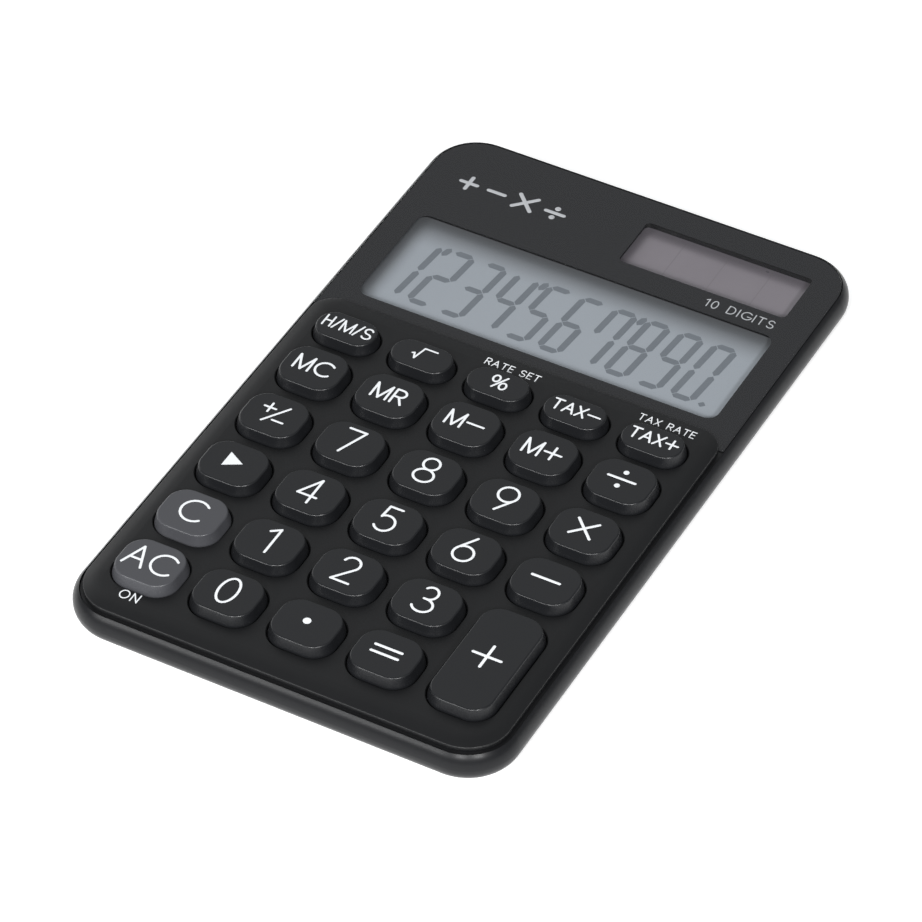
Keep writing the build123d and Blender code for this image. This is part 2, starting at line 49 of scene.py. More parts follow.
class Wire:
    """An output in a material's node tree. Arithmetic on it adds Math nodes."""

    def __init__(self, tree, socket=None):
        self.tree, self.socket = tree, socket

    def node(self, kind, inputs=(), output=0, **settings):
        """Any node: its settings first, then the values or links of its inputs."""
        made = self.tree.nodes.new(kind)
        for name, value in settings.items():
            setattr(made, name, value)
        for name, value in dict(inputs).items():
            if isinstance(value, Wire):
                self.tree.links.new(value.socket, made.inputs[name])
            else:
                made.inputs[name].default_value = value
        return Wire(self.tree, made.outputs[output])

    def math(self, operation, first, second=0.0):
        return self.node("ShaderNodeMath", {0: first, 1: second}, operation=operation)

    def __add__(self, other):
        return self.math("ADD", self, other)

    def __radd__(self, other):
        return self.math("ADD", other, self)

    def __sub__(self, other):
        return self.math("SUBTRACT", self, other)

    def __rsub__(self, other):
        return self.math("SUBTRACT", other, self)

    def __mul__(self, other):
        return self.math("MULTIPLY", self, other)

    def __rmul__(self, other):
        return self.math("MULTIPLY", other, self)

    def __gt__(self, other):
        return self.math("GREATER_THAN", self, other)

    def blend(self, low, high):
        """Two colours mixed by this value."""
        mixed = self.node("ShaderNodeMix", data_type="RGBA", output=2)
        mixer = mixed.socket.node
        self.tree.links.new(self.socket, mixer.inputs["Factor"])
        for place, shade in ((6, low), (7, high)):
            if isinstance(shade, Wire):
                self.tree.links.new(shade.socket, mixer.inputs[place])
            else:
                mixer.inputs[place].default_value = (*shade, 1.0)
        return mixed

    def point(self):
        """The surface point in the object's own coordinates, in metres."""
        return self.node("ShaderNodeTexCoord", output=3)

    def noise(self, grain, detail=3.0, where=None):
        """Cloudy noise whose features are about grain metres wide."""
        place = where or self.point()
        return self.node("ShaderNodeTexNoise", {"Vector": place, "Scale": 1 / grain, "Detail": detail})

    def bump(self, height, depth):
        return self.node("ShaderNodeBump", {"Height": height, "Strength": 1.0, "Distance": depth})


def finish(name, paint):
    """A material from what paint(wire) returns: the inputs of a Principled shader, or a shader's output."""
    made = bpy.data.materials.new(name)
    made.use_nodes = True
    tree = made.node_tree
    tree.nodes.clear()
    wire = Wire(tree)
    surface = paint(wire)
    if not isinstance(surface, Wire):
        surface = wire.node("ShaderNodeBsdfPrincipled", surface)
    output = tree.nodes.new("ShaderNodeOutputMaterial")
    tree.links.new(surface.socket, output.inputs["Surface"])
    return made


def dress(material, *nodes):
    """Gives a material to CAD nodes."""
    for node in nodes:
        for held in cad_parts[node].material_slots:
            held.material = material


def moulded(name, shade, lift, roughness, grain, depth, gloss=0.4):
    """Moulded plastic: a fine tool grain, slightly uneven gloss, and colour that drifts a little."""

    def paint(wire):
        drift = wire.noise(14 * MM)
        speck = wire.noise(grain, 2.0)
        bright = tuple(min(1.0, part * lift) for part in shade)
        return {
            "Base Color": drift.blend(shade, bright),
            "Roughness": roughness + 0.06 * (drift - 0.5) + 0.08 * (speck - 0.5),
            "Normal": wire.bump(speck, depth),
            "Specular IOR Level": gloss,
        }

    return finish(name, paint)


case_graphite = moulded("case_graphite", (0.0075, 0.0078, 0.0088), 1.2, 0.34, 0.16 * MM, 0.004 * MM, 0.2)
dress(case_graphite, "rear_case")


# ---------------------------------------------------------------- feet and back screws
# Four soft discs stuck into recesses, and the zinc-plated screws that close the back. The rubber is
# dull and a little dusty; the screws keep the turning marks of their heads.
def rubber(name, shade, dust):
    def paint(wire):
        cloud = wire.noise(1.5 * MM, 5.0)
        return {
            "Base Color": cloud.blend(shade, dust),
            "Roughness": 0.75 + 0.2 * (cloud - 0.5),
            "Normal": wire.bump(wire.noise(0.3 * MM), 0.01 * MM),
        }

    return finish(name, paint)


def metal(name, shade, roughness, streak=(1, 1, 1)):
    """Plated or rolled metal, with faint streaks drawn out by the streak vector."""

    def paint(wire):
        drawn = wire.node("ShaderNodeMapping", {"Vector": wire.point(), "Scale": streak})
        lines = wire.noise(0.25 * MM, 4.0, drawn)
        dark = tuple(0.8 * part for part in shade)
        return {
            "Base Color": lines.blend(dark, shade),
            "Metallic": 1.0,
            "Roughness": roughness + 0.16 * (lines - 0.5),
            "Normal": wire.bump(lines, 0.002 * MM),
        }

    return finish(name, paint)


dress(rubber("foot_rubber", (0.018, 0.018, 0.019), (0.035, 0.034, 0.033)), "rubber_feet")
dress(metal("zinc_screw", (0.62, 0.62, 0.6), 0.32), "case_screws", "board_screws")


# ---------------------------------------------------------------- board and its parts
# A thin laminate with green solder mask over copper tracks, a black epoxy blob over the bonded chip,
# a dipped capacitor and three chip resistors.
def solder_mask(wire):
    """Green lacquer, raised along a grid of copper tracks."""
    place = wire.point()
    grid = {"Vector": place, "Scale": 220.0, "Mortar Size": 0.016}
    tracks = wire.node("ShaderNodeTexBrick", grid, output=1)
    cloud = wire.noise(9 * MM, 4.0, place)
    mask = cloud.blend((0.012, 0.085, 0.035), (0.02, 0.13, 0.055))
    return {
        "Base Color": tracks.blend(mask, (0.05, 0.24, 0.1)),
        "Roughness": 0.3 + 0.15 * (cloud - 0.5),
        "Normal": wire.bump(tracks, 0.03 * MM),
    }


dress(finish("solder_mask", solder_mask), "main_pcb")
dress(moulded("chip_epoxy", (0.006, 0.006, 0.007), 1.5, 0.22, 0.8 * MM, 0.02 * MM), "chip_blob")
dress(moulded("capacitor_case", (0.55, 0.3, 0.04), 1.1, 0.35, 0.3 * MM, 0.008 * MM), "capacitor")
dress(moulded("resistor_ceramic", (0.02, 0.02, 0.022), 1.6, 0.5, 0.2 * MM, 0.006 * MM), "chip_resistors")


# ---------------------------------------------------------------- battery and its springs
# A steel-cased button cell between two sprung strips of phosphor bronze, and two more strips under
# the solar cell.
dress(metal("cell_steel", (0.68, 0.68, 0.67), 0.25, (1, 12, 1)), "button_cell")
dress(
    metal("phosphor_bronze", (0.72, 0.45, 0.24), 0.3, (1, 10, 1)),
    "battery_contact_minus", "battery_contact_plus", "solar_contacts",
)


# ---------------------------------------------------------------- rubber keypad
# One translucent grey silicone sheet with a dome under each key, moulded in a press and powdered so
# that it doesn't stick. It lies loose on the board and springs the keys back.
dress(rubber("silicone", (0.36, 0.37, 0.38), (0.46, 0.47, 0.48)), "rubber_keypad")


# ---------------------------------------------------------------- liquid crystal display
# A glass cell in a moulded holder, with a matt reflector behind and a polariser in front. The digits
# are the darkened crystal, seen as slanted bars with pointed ends.
def edge_shade(wire, left, far, reach_left, reach_far):
    """How much of the light reaches a sunken sheet, from 0 under its frame's left and far edges to 1."""
    place = wire.point()
    x = wire.node("ShaderNodeSeparateXYZ", {0: place})
    y = wire.node("ShaderNodeSeparateXYZ", {0: place}, output=1)

    def fade(value, start, end):
        span = {"Value": value, "From Min": start, "From Max": end}
        return wire.node("ShaderNodeMapRange", span, interpolation_type="SMOOTHSTEP")

    return fade(x, left, left + reach_left) * fade(y, far, far - reach_far)


# How far the painted shade of the window's frame reaches into the display's cell.
FIELD_LEFT = -30.6 * MM
FIELD_FAR = 39.9 * MM
FIELD_SHADE_LEFT = 4.2 * MM
FIELD_SHADE_FAR = 7.0 * MM


def display_field(wire):
    """The pale grey of the cell at rest, with painted shade towards its left and far edges, where the
    window's frame would shade it.
    """
    fine = wire.noise(0.12 * MM, 2.0)
    cloud = wire.noise(20 * MM, 2.0)
    painted_light = edge_shade(wire, FIELD_LEFT, FIELD_FAR, FIELD_SHADE_LEFT, FIELD_SHADE_FAR)
    bright = cloud.blend((0.262, 0.288, 0.318), (0.282, 0.308, 0.338))
    return {
        # The dark colour is painted shade from the window's frame, not a colour of the cell.
        "Base Color": painted_light.blend((0.085, 0.09, 0.096), bright),
        "Roughness": 0.36 + 0.1 * (fine - 0.5),
        "Normal": wire.bump(fine, 0.001 * MM),
    }


field = finish("display_field", display_field)
dress(field, "lcd_polariser", "lcd_glass")
dress(metal("lcd_reflector_foil", (0.7, 0.71, 0.72), 0.55), "lcd_reflector")
dress(moulded("holder_white", (0.42, 0.42, 0.41), 1.05, 0.5, 0.2 * MM, 0.004 * MM), "lcd_holder")
dress(rubber("zebra_strip", (0.03, 0.03, 0.03), (0.3, 0.18, 0.18)), "elastomer_connector")

DIGIT_PITCH = 5.47 * MM
DIGIT_WIDTH = 3.15 * MM
DIGIT_HEIGHT = 12.5 * MM
DIGITS_LEFT = 2.0 * MM
DIGITS_NEAR = 0.35 * MM
BAR_WIDTH = 1.05 * MM
BAR_GAP = 0.18 * MM
BAR_THICKNESS = 0.02 * MM
TICK = 1.7 * MM
TICK_RISE = 0.6 * MM
TICK_LEAN = 0.45 * MM
TICK_PLACES = (1, 4, 7)
SLANT = math.radians(5.0)
SEGMENTS = {
    "0": "abcdef", "1": "bc", "2": "abged", "3": "abgcd", "4": "fgbc",
    "5": "afgcd", "6": "afgedc", "7": "fabc", "8": "abcdefg", "9": "abcdfg",
}
SHOWN = "1234567890"


def segment_ends(letter):
    """Where one bar of a digit starts and ends, from the digit's lower left corner."""
    half = DIGIT_HEIGHT / 2
    return {
        "a": ((0, 2 * half), (DIGIT_WIDTH, 2 * half)), "b": ((DIGIT_WIDTH, half), (DIGIT_WIDTH, 2 * half)),
        "c": ((DIGIT_WIDTH, 0), (DIGIT_WIDTH, half)), "d": ((0, 0), (DIGIT_WIDTH, 0)),
        "e": ((0, 0), (0, half)), "f": ((0, half), (0, 2 * half)), "g": ((0, half), (DIGIT_WIDTH, half)),
    }[letter]


def bars_mesh(name, bars, low, high):
    """Flat bars with pointed ends between pairs of points, from height low to height high."""
    made = bpy.data.meshes.new(name)
    shape = bmesh.new()
    half = BAR_WIDTH / 2
    for start, end in bars:
        start, end = Vector(start), Vector(end)
        along = (end - start).normalized()
        across = Vector((-along.y, along.x)) * half
        start, end = start + along * BAR_GAP / 2, end - along * BAR_GAP / 2
        ring = [
            start, start + along * half - across, end - along * half - across,
            end, end - along * half + across, start + along * half + across,
        ]
        ring = [(point.x + point.y * math.tan(SLANT), point.y) for point in ring]
        under = [shape.verts.new((x, y, low)) for x, y in ring]
        over = [shape.verts.new((x, y, high)) for x, y in ring]
        shape.faces.new(over)
        shape.faces.new(under[::-1])
        for here in range(len(ring)):
            after = (here + 1) % len(ring)
            shape.faces.new((under[here], under[after], over[after], over[here]))
    shape.to_mesh(made)
    shape.free()
    return made


def link(name, mesh, material, body="housing"):
    """Puts a finished mesh in the scene, riding on a body."""
    piece = bpy.data.objects.new(name, mesh)
    bpy.context.scene.collection.objects.link(piece)
    if not mesh.materials:
        mesh.materials.append(material)
    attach(piece, body)
    return piece


film_low, film_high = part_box("lcd_polariser")
field_middle = (film_low + film_high) / 2
bars = []
for place, digit in enumerate(SHOWN):
    left = (place - len(SHOWN) / 2) * DIGIT_PITCH
    for letter in SEGMENTS[digit]:
        bars.append([(left + (DIGIT_PITCH - DIGIT_WIDTH) / 2 + x, y) for x, y in segment_ends(letter)])
    if place in TICK_PLACES:
        foot = left - 0.15 * MM
        bars.append([(foot, DIGIT_HEIGHT - TICK), (foot + TICK_LEAN, DIGIT_HEIGHT + TICK_RISE)])
point_left = len(SHOWN) / 2 * DIGIT_PITCH - 0.1 * MM
bars.append([(point_left, 0), (point_left + BAR_WIDTH + 2 * BAR_GAP, 0)])
digits_mesh = bars_mesh("display_digits", bars, film_high.z, film_high.z + BAR_THICKNESS)
digits_corner = (field_middle.x - DIGITS_LEFT, field_middle.y - DIGIT_HEIGHT / 2 - DIGITS_NEAR, 0)
digits_mesh.transform(Matrix.Translation(digits_corner))


def crystal(wire):
    """The slate grey of the crystal where a bar is switched on."""
    cloud = wire.noise(4 * MM, 3.0)
    return {"Base Color": cloud.blend((0.12, 0.137, 0.156), (0.138, 0.155, 0.175)), "Roughness": 0.4}


link("display_digits", digits_mesh, finish("dark_crystal", crystal))


# ---------------------------------------------------------------- solar cell
# Thin-film silicon sprayed on glass: a plum-grey sheet, divided by hairline scribes into four strips,
# and pressed up against the window's ledge by two springs.
SOLAR_STRIPS = 4
SCRIBE_HALF_WIDTH = 0.09 * MM
solar_low, solar_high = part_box("solar_cell")


def silicon(wire):
    """Plum grey with its scribes, with painted shade towards its left and far edges, where the window's frame
    would shade it.
    """
    place = wire.point()
    x = wire.node("ShaderNodeSeparateXYZ", {0: place})
    half = (solar_high.x - solar_low.x) / SOLAR_STRIPS / 2
    scribe = wire.math("PINGPONG", x - (solar_low.x + half), half) > (half - SCRIBE_HALF_WIDTH)
    cloud = wire.noise(6 * MM, 3.0, place)
    base = cloud.blend((0.165, 0.15, 0.168), (0.185, 0.17, 0.188))
    cut = scribe.blend(base, (0.15, 0.137, 0.152))
    painted_light = edge_shade(wire, solar_low.x + 0.4 * MM, solar_high.y - 0.5 * MM, 1.6 * MM, 2.4 * MM)
    # The dark colour is painted shade from the window's frame, not a colour of the cell.
    return {"Base Color": painted_light.blend((0.1, 0.092, 0.104), cut), "Roughness": 0.3 + 0.1 * (cloud - 0.5)}


dress(finish("thin_film", silicon), "solar_cell")


# ---------------------------------------------------------------- front plate
# The front moulding: the pillowed keypad, satin from the tool, and the ledge under the window. Small
# labels are pad-printed on it in white, above and below a few keys.
dress(moulded("pad_graphite", (0.0052, 0.0054, 0.006), 1.2, 0.4, 0.18 * MM, 0.004 * MM, 0.36), "front_case")
PRINT_LIFT = 0.012 * MM


def arc(x, y, wide, tall, start, end):
    """Points round part of an ellipse, between two angles in degrees."""
    steps = max(3, round(abs(end - start) / 15))
    turns = [math.radians(start + (end - start) * step / steps) for step in range(steps + 1)]
    return [(x + wide * math.cos(turn), y + tall * math.sin(turn)) for turn in turns]


# Each sign is its width and its strokes, on a line height of one.
SIGNS = {
    " ": (0.35, []),
    "H": (0.54, [[(0, 0), (0, 1)], [(0.54, 0), (0.54, 1)], [(0, 0.52), (0.54, 0.52)]]),
    "M": (0.82, [[(0, 0), (0, 1)], [(0, 1), (0.41, 0)], [(0.41, 0), (0.82, 1)], [(0.82, 1), (0.82, 0)]]),
    "S": (0.6, [arc(0.3, 0.75, 0.27, 0.25, 25, 270) + arc(0.3, 0.25, 0.3, 0.25, 90, -155)]),
    "/": (0.38, [[(0, -0.02), (0.38, 1.04)]]),
    "C": (0.84, [arc(0.5, 0.5, 0.5, 0.5, 45, 315)]),
    "R": (0.6, [[(0, 0), (0, 1)], [(0, 1)] + arc(0.3, 0.74, 0.28, 0.26, 90, -90) + [(0, 0.48)],
                [(0.3, 0.48), (0.6, 0)]]),
    "A": (0.76, [[(0, 0), (0.38, 1)], [(0.38, 1), (0.76, 0)], [(0.15, 0.36), (0.61, 0.36)]]),
    "T": (0.66, [[(0, 1), (0.66, 1)], [(0.33, 1), (0.33, 0)]]),
    "E": (0.5, [[(0, 0), (0, 1)], [(0, 1), (0.5, 1)], [(0, 0.52), (0.45, 0.52)], [(0, 0), (0.5, 0)]]),
    "X": (0.64, [[(0, 0), (0.64, 1)], [(0, 1), (0.64, 0)]]),
    "O": (0.9, [arc(0.45, 0.5, 0.45, 0.5, 0, 360)]),
    "N": (0.66, [[(0, 0), (0, 1)], [(0, 1), (0.66, 0)], [(0.66, 0), (0.66, 1)]]),
    "D": (0.7, [[(0, 0), (0, 1)], [(0, 1), (0.28, 1)] + arc(0.28, 0.5, 0.42, 0.5, 90, -90) + [(0, 0)]]),
    "I": (0.0, [[(0, 0), (0, 1)]]),
    "G": (0.86, [arc(0.5, 0.5, 0.5, 0.5, 45, 350) + [(0.56, 0.42)]]),
    "%": (1.0, [arc(0.2, 0.72, 0.2, 0.27, 0, 360), [(0.22, 0), (0.8, 1)], arc(0.8, 0.27, 0.2, 0.27, 0, 360)]),
    "root": (1.34, [[(0, 0.37), (0.12, 0.43)], [(0.12, 0.43), (0.28, 0)], [(0.28, 0), (0.52, 1)],
                    [(0.52, 1), (1.34, 1)]]),
    "+": (0.9, [[(0, 0.5), (0.9, 0.5)], [(0.45, 0.05), (0.45, 0.95)]]),
    "-": (0.9, [[(0, 0.5), (0.9, 0.5)]]),
    "0": (0.56, [arc(0.28, 0.5, 0.28, 0.5, 0, 360)]),
    "1": (0.3, [[(0, 0.82), (0.26, 1)], [(0.26, 1), (0.26, 0)]]),
    "2": (0.56, [arc(0.27, 0.74, 0.26, 0.26, 165, -35) + [(0, 0)], [(0, 0), (0.56, 0)]]),
    "3": (0.56, [arc(0.26, 0.76, 0.22, 0.24, 145, -90) + [(0.18, 0.52)],
                 [(0.18, 0.52)] + arc(0.26, 0.26, 0.3, 0.26, 90, -155)]),
    "4": (0.6, [[(0.44, 0), (0.44, 1)], [(0.44, 1), (0, 0.28)], [(0, 0.28), (0.6, 0.28)]]),
    "5": (0.56, [[(0.5, 1), (0.1, 1)], [(0.1, 1), (0.06, 0.54)], arc(0.26, 0.32, 0.3, 0.32, 132, -145)]),
    "6": (0.6, [arc(0.3, 0.3, 0.3, 0.3, 0, 360), [(0.045, 0.455), (0.4, 1)]]),
    "7": (0.54, [[(0, 1), (0.54, 1)], [(0.54, 1), (0.14, 0)]]),
    "8": (0.6, [arc(0.3, 0.76, 0.24, 0.24, 0, 360), arc(0.3, 0.26, 0.3, 0.26, 0, 360)]),
    "9": (0.6, [arc(0.3, 0.7, 0.3, 0.3, 0, 360), [(0.555, 0.545), (0.2, 0)]]),
    "sign": (1.0, [[(0.02, 0.69), (0.46, 0.69)], [(0.24, 0.47), (0.24, 0.91)], [(0.26, 0), (0.9, 0.93)],
                   [(0.6, 0.17), (1.0, 0.17)]]),
    "divide": (1.0, [[(0, 0.5), (1, 0.5)], arc(0.5, 0.85, 0.05, 0.05, 0, 360),
                     arc(0.5, 0.15, 0.05, 0.05, 0, 360)]),
    "times": (1.0, [[(0, 0), (1, 1)], [(0, 1), (1, 0)]]),
    "equals": (1.0, [[(0, 0.34), (1, 0.34)], [(0, 0.66), (1, 0.66)]]),
}


def stroke_tree():
    """Geometry Nodes that turn centre lines into round-ended strokes of ink, flattened on the surface."""
    tree = bpy.data.node_groups.new("ink_strokes", "GeometryNodeTree")
    tree.is_modifier = True
    sockets = (
        ("Geometry", "Geometry"), ("Stroke", "Float"), ("Ink Height", "Float"), ("Surface", "Float"),
        ("Ink", "Material"),
    )
    for name, kind in sockets:
        tree.interface.new_socket(name, in_out="INPUT", socket_type="NodeSocket" + kind)
    tree.interface.new_socket("Geometry", in_out="OUTPUT", socket_type="NodeSocketGeometry")

    def add(kind, inputs=(), **settings):
        made = tree.nodes.new(kind)
        for name, value in settings.items():
            setattr(made, name, value)
        for name, value in dict(inputs).items():
            if isinstance(value, bpy.types.NodeSocket):
                tree.links.new(value, made.inputs[name])
            else:
                made.inputs[name].default_value = value
        return made

    given = add("NodeGroupInput").outputs
    radius = add("ShaderNodeMath", {0: given["Stroke"], 1: 0.5}, operation="MULTIPLY").outputs[0]
    lines = add("GeometryNodeMeshToCurve", {0: given["Geometry"]}).outputs[0]
    ring = add("GeometryNodeCurvePrimitiveCircle", {"Resolution": 10, "Radius": radius}).outputs[0]
    swept = {"Curve": lines, "Profile Curve": ring, "Fill Caps": True}
    tube = add("GeometryNodeCurveToMesh", swept).outputs[0]
    ends = add("GeometryNodeCurveEndpointSelection").outputs[0]
    ball = add("GeometryNodeMeshUVSphere", {"Segments": 12, "Rings": 6, "Radius": radius}).outputs["Mesh"]
    set_out = {"Points": lines, "Selection": ends, "Instance": ball}
    capped = add("GeometryNodeInstanceOnPoints", set_out).outputs[0]
    whole = add("GeometryNodeJoinGeometry")
    tree.links.new(tube, whole.inputs[0])
    tree.links.new(capped, whole.inputs[0])
    real = add("GeometryNodeRealizeInstances", {0: whole.outputs[0]}).outputs[0]
    squeeze = add("ShaderNodeMath", {0: given["Ink Height"], 1: radius}, operation="DIVIDE").outputs[0]
    scale = add("ShaderNodeCombineXYZ", {0: 1.0, 1: 1.0, 2: squeeze}).outputs[0]
    lift = add("ShaderNodeCombineXYZ", {2: given["Surface"]}).outputs[0]
    flat = add("GeometryNodeTransform", {"Geometry": real, "Scale": scale, "Translation": lift}).outputs[0]
    inked = add("GeometryNodeSetMaterial", {"Geometry": flat, "Material": given["Ink"]}).outputs[0]
    add("NodeGroupOutput", {0: inked})
    return tree


INK_STROKES = stroke_tree()


def ink(wire):
    """White pad-printing ink, a little uneven."""
    cloud = wire.noise(0.5 * MM, 3.0)
    white = cloud.blend((0.76, 0.78, 0.8), (0.82, 0.84, 0.86))
    return {"Base Color": white, "Roughness": 0.45 + 0.1 * (cloud - 0.5)}


WHITE_INK = finish("white_ink", ink)
# Each stroke of a sign lies a hair above the one before, before flattening, so that crossings stay clean.
STROKE_LAYER = 0.04 * MM


def legend(name, signs, middle, height, stroke, surface, body, gap=0.24, material=None):
    """Prints a row of signs centred on a point: height is over all, in metres, strokes included."""
    material = material or WHITE_INK
    line = height - stroke
    spans = [SIGNS[sign][0] for sign in signs]
    total = sum(spans) + gap * (len(signs) - 1)
    pen = -total / 2
    shape = bmesh.new()
    for sign, span in zip(signs, spans):
        for layer, stroke_points in enumerate(SIGNS[sign][1]):
            corners = []
            for x, y in stroke_points:
                spot = (middle[0] + (pen + x) * line, middle[1] + (y - 0.5) * line, layer * STROKE_LAYER)
                corners.append(shape.verts.new(spot))
            for here, after in zip(corners, corners[1:]):
                shape.edges.new((here, after))
        pen += span + gap
    made = bpy.data.meshes.new(name)
    shape.to_mesh(made)
    shape.free()
    source = bpy.data.objects.new(name, made)
    bpy.context.scene.collection.objects.link(source)
    modifier = source.modifiers.new("ink", "NODES")
    modifier.node_group = INK_STROKES
    values = {"Stroke": stroke, "Ink Height": PRINT_LIFT, "Surface": surface, "Ink": material}
    for item in INK_STROKES.interface.items_tree:
        if item.in_out == "INPUT" and item.name in values:
            modifier[item.identifier] = values[item.name]
    evaluated = source.evaluated_get(bpy.context.evaluated_depsgraph_get())
    printed = bpy.data.meshes.new_from_object(evaluated)
    printed.shade_smooth()
    bpy.data.objects.remove(source)
    return link(name, printed, material, body)


pad_low, pad_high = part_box("front_case")
window_low, window_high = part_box("display_window")
PAD_PRINT = 1.47 * MM
PAD_STROKE = 0.17 * MM
column_far = (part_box("key_tax_plus")[0].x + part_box("key_tax_plus")[1].x) / 2
label_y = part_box("key_percent")[1].y + 1.3 * MM
on_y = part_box("key_ac")[0].y - 0.5 * MM
PAD_LABELS = (
    ("pad_rate_set", "RATE SET", (-0.3 * MM, label_y), PAD_PRINT, PAD_STROKE, 0.3),
    ("pad_tax_rate", "TAX RATE", (column_far - 0.25 * MM, label_y), PAD_PRINT, PAD_STROKE, 0.28),
    ("pad_on", "ON", (-column_far, on_y), 1.75 * MM, 0.2 * MM, 0.35),
)
for name, words, middle, height, stroke, gap in PAD_LABELS:
    legend(name, words, middle, height, stroke, pad_high.z, "housing", gap)


# ---------------------------------------------------------------- display window
# A clear sheet, flush with the rim, printed on its back in opaque dark grey except over the display
# and the solar cell. A generic row of signs and "10 DIGITS" stand on the print.
WINDOW_CORNER = 6.9 * MM
PAD_INSET = 0.45 * MM
PAD_CORNER = 4.0 * MM
GAP = 0.12 * MM
PRINT_FROM_EDGE = 0.03 * MM
PRINT_THICKNESS = 0.03 * MM
DISPLAY_FROM_PAD = 3.05 * MM
PRINT_GAP = 0.1 * MM
DISPLAY_OPENING = (29.63 * MM, 10.2 * MM, 1.8 * MM)
SOLAR_OPENING = (13.83 * MM, 4.93 * MM, 0.8 * MM)


def rounded(middle, half_wide, half_tall, corner):
    """A rectangle with rounded corners, anticlockwise."""
    points = []
    for side_x, side_y, start in ((1, 1, 0), (-1, 1, 90), (-1, -1, 180), (1, -1, 270)):
        points += arc(
            middle[0] + side_x * (half_wide - corner), middle[1] + side_y * (half_tall - corner),
            corner, corner, start, start + 90,
        )
    return points


def sheet_with_openings(name, outlines, low, thickness):
    """A thin flat sheet inside the first outline and outside the others."""
    curve = bpy.data.curves.new(name, "CURVE")
    curve.dimensions = "2D"
    curve.fill_mode = "BOTH"
    curve.extrude = thickness / 2
    for outline in outlines:
        spline = curve.splines.new("POLY")
        spline.points.add(len(outline) - 1)
        for point, (x, y) in zip(spline.points, outline):
            point.co = (x, y, 0, 1)
        spline.use_cyclic_u = True
    holder = bpy.data.objects.new(name, curve)
    bpy.context.scene.collection.objects.link(holder)
    made = bpy.data.meshes.new_from_object(holder.evaluated_get(bpy.context.evaluated_depsgraph_get()))
    bpy.data.objects.remove(holder)
    made.transform(Matrix.Translation((0, 0, low + thickness / 2)))
    return made


half_window = window_high.x - PRINT_FROM_EDGE
far = window_high.y - PRINT_FROM_EDGE
pad_end = window_low.y + 2.2 * MM
display_middle = (0, pad_end + DISPLAY_FROM_PAD + DISPLAY_OPENING[1])
solar_middle = ((solar_low.x + solar_high.x) / 2, (solar_low.y + solar_high.y) / 2)
corner_y = pad_end - PAD_CORNER
reach = PAD_CORNER + GAP
horn = math.degrees(math.asin((window_low.y - corner_y) / reach))
near_corner = arc(-half_window + PAD_INSET + PAD_CORNER, corner_y, reach, reach, 90, 180 - horn)
outline = (
    arc(half_window - WINDOW_CORNER, far - WINDOW_CORNER, WINDOW_CORNER, WINDOW_CORNER, 0, 90)
    + arc(-half_window + WINDOW_CORNER, far - WINDOW_CORNER, WINDOW_CORNER, WINDOW_CORNER, 90, 180)
    + [(-half_window, window_low.y)]
    + near_corner[::-1]
    + [(-x, y) for x, y in near_corner]
    + [(half_window, window_low.y)]
)
print_mesh = sheet_with_openings(
    "window_print",
    [outline, rounded(display_middle, *DISPLAY_OPENING), rounded(solar_middle, *SOLAR_OPENING)],
    window_low.z + PRINT_GAP, PRINT_THICKNESS,
)
PRINT_INK = moulded("print_ink", (0.0066, 0.007, 0.0086), 1.06, 0.24, 1.5 * MM, 0.0001 * MM, 0.5)
link("window_print", print_mesh, PRINT_INK)


def clear_sheet(wire):
    """Clear acrylic: see-through head on, with the gloss of its front face on top."""
    shine = {"Base Color": (0.9, 0.9, 0.9, 1), "Metallic": 1.0, "Roughness": 0.3}
    gloss = wire.node("ShaderNodeBsdfPrincipled", shine)
    through = wire.node("ShaderNodeBsdfTransparent")
    grazing = wire.node("ShaderNodeLayerWeight", {"Blend": 0.5}, output=1)
    share = 0.008 + 0.3 * wire.math("POWER", grazing, 5.0)
    return wire.node("ShaderNodeMixShader", {0: share, 1: through, 2: gloss})


dress(finish("clear_acrylic", clear_sheet), "display_window")


def grey_ink(wire):
    """Silver-grey ink for the marks on the window."""
    cloud = wire.noise(0.5 * MM, 3.0)
    return {"Base Color": cloud.blend((0.42, 0.43, 0.45), (0.47, 0.48, 0.5)), "Roughness": 0.5}


GREY_INK = finish("grey_ink", grey_ink)
print_top = window_low.z + PRINT_GAP + PRINT_THICKNESS
emblem_middle = (-19.3 * MM, solar_middle[1] + 0.1 * MM)
note_middle = (22.6 * MM, solar_low.y - 1.55 * MM)
WINDOW_MARKS = (
    ("window_emblem", ["+", "-", "times", "divide"], emblem_middle, 3.7 * MM, 0.66 * MM, 0.66),
    ("window_digits_note", "10 DIGITS", note_middle, 1.8 * MM, 0.18 * MM, 0.36),
)
for name, words, middle, height, stroke, gap in WINDOW_MARKS:
    legend(name, words, middle, height, stroke, print_top, "housing", gap, GREY_INK)


